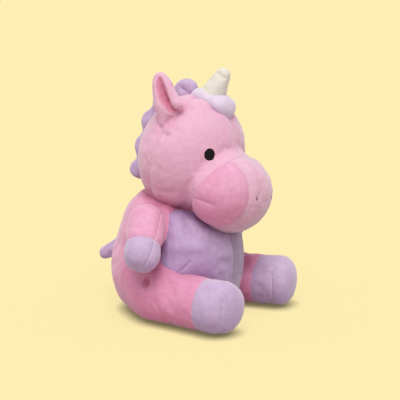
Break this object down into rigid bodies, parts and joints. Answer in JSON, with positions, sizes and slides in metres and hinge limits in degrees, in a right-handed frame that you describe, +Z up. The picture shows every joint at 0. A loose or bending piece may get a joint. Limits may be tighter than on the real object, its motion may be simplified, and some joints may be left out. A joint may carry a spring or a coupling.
{
  "type": "plush unicorn",
  "caption": "Sitting stuffed unicorn in pink and lilac short-pile fabric, with a round head, blunt horn, scalloped mane, stub arms and legs, and a small tail.",
  "frame": {"origin": "on the floor, at the centre of the flat seat", "axes": "+Z up, -Y the way the unicorn looks, +X its left side"},
  "size_m": [0.2116, 0.2056, 0.2561],
  "materials": {
    "pink_plush": "short soft pile, matt with a light sheen",
    "deep_pink_plush": "short soft pile, matt",
    "lilac_plush": "short soft pile, matt with a light sheen",
    "cream_plush": "fine short pile, matt",
    "black_thread": "satin stitched thread",
    "mauve_thread": "stitched thread",
    "fibre_fill": "loose polyester fibre",
    "pouch_cloth": "plain woven cotton"
  },
  "bodies": {
    "torso": {"belly_panel_left": "lilac_plush", "belly_panel_right": "lilac_plush", "back_panel_left": "pink_plush", "back_panel_right": "pink_plush", "seat_panel": "pink_plush", "torso_stuffing": "fibre_fill", "bean_pouch": "pouch_cloth"},
    "neck": {"neck_stuffing": "fibre_fill"},
    "head": {"muzzle_side_left": "pink_plush", "muzzle_side_right": "pink_plush", "muzzle_front": "pink_plush", "face_panel_left": "pink_plush", "face_panel_right": "pink_plush", "head_back_left": "pink_plush", "head_back_right": "pink_plush", "head_stuffing": "fibre_fill", "eye_left": "black_thread", "nostril_left": "mauve_thread", "eye_right": "black_thread", "nostril_right": "mauve_thread", "mane_left": "lilac_plush", "mane_right": "lilac_plush", "mane_padding": "fibre_fill", "forelock_cover": "lilac_plush", "forelock_padding": "fibre_fill"},
    "horn": {"horn_cover": "cream_plush", "horn_stuffing": "fibre_fill"},
    "ear_left": {"ear_outer_left": "pink_plush", "ear_inner_left": "deep_pink_plush"},
    "ear_right": {"ear_outer_right": "pink_plush", "ear_inner_right": "deep_pink_plush"},
    "arm_left": {"arm_outer_left": "pink_plush", "arm_inner_left": "pink_plush", "arm_hoof_outer_left": "lilac_plush", "arm_hoof_inner_left": "lilac_plush", "arm_stuffing_left": "fibre_fill"},
    "arm_right": {"arm_outer_right": "pink_plush", "arm_inner_right": "pink_plush", "arm_hoof_outer_right": "lilac_plush", "arm_hoof_inner_right": "lilac_plush", "arm_stuffing_right": "fibre_fill"},
    "leg_left": {"leg_outer_left": "pink_plush", "leg_inner_left": "pink_plush", "leg_hoof_outer_left": "lilac_plush", "leg_hoof_inner_left": "lilac_plush", "leg_stuffing_left": "fibre_fill"},
    "leg_right": {"leg_outer_right": "pink_plush", "leg_inner_right": "pink_plush", "leg_hoof_outer_right": "lilac_plush", "leg_hoof_inner_right": "lilac_plush", "leg_stuffing_right": "fibre_fill"},
    "tail": {"tail_cover_left": "lilac_plush", "tail_cover_right": "lilac_plush", "tail_stuffing": "fibre_fill"}
  },
  "joints": [
    {"name": "neck_turn", "type": "hinge", "parent": "torso", "child": "neck", "pos_m": [0, -0.002, 0.118], "axis": [0.1171, -0.2756, 0.9541], "range_deg": [-20, 20]},
    {"name": "neck_nod", "type": "hinge", "parent": "neck", "child": "head", "pos_m": [0, -0.002, 0.118], "axis": [0.9925, 0, -0.1219], "range_deg": [-10, 5]},
    {"name": "horn_tilt", "type": "hinge", "parent": "head", "child": "horn", "pos_m": [0.01206, -0.029, 0.21626], "axis": [0.9925, 0, -0.1219], "range_deg": [-10, 10]},
    {"name": "ear_left_bend", "type": "hinge", "parent": "head", "child": "ear_left", "pos_m": [0.05614, -0.014, 0.19775], "axis": [0.2569, 0.9659, -0.0315], "range_deg": [-20, 20]},
    {"name": "ear_right_bend", "type": "hinge", "parent": "head", "child": "ear_right", "pos_m": [-0.03518, -0.014, 0.20897], "axis": [0.2569, -0.9659, -0.0315], "range_deg": [-20, 20]},
    {"name": "shoulder_left", "type": "hinge", "parent": "torso", "child": "arm_left", "pos_m": [0.064, -0.0035, 0.1045], "axis": [-1, 0, 0], "range_deg": [-25, 60]},
    {"name": "shoulder_right", "type": "hinge", "parent": "torso", "child": "arm_right", "pos_m": [-0.064, -0.0035, 0.1045], "axis": [-1, 0, 0], "range_deg": [-25, 60]},
    {"name": "hip_left", "type": "hinge", "parent": "torso", "child": "leg_left", "pos_m": [0.051, -0.014, 0.0295], "axis": [-0.9875, -0.1576, 0], "range_deg": [0, 25]},
    {"name": "hip_right", "type": "hinge", "parent": "torso", "child": "leg_right", "pos_m": [-0.051, -0.014, 0.0295], "axis": [-0.9875, 0.1576, 0], "range_deg": [0, 25]},
    {"name": "tail_swing", "type": "hinge", "parent": "torso", "child": "tail", "pos_m": [0, 0.069, 0.057], "axis": [0, 0, 1], "range_deg": [-30, 30]}
  ]
}
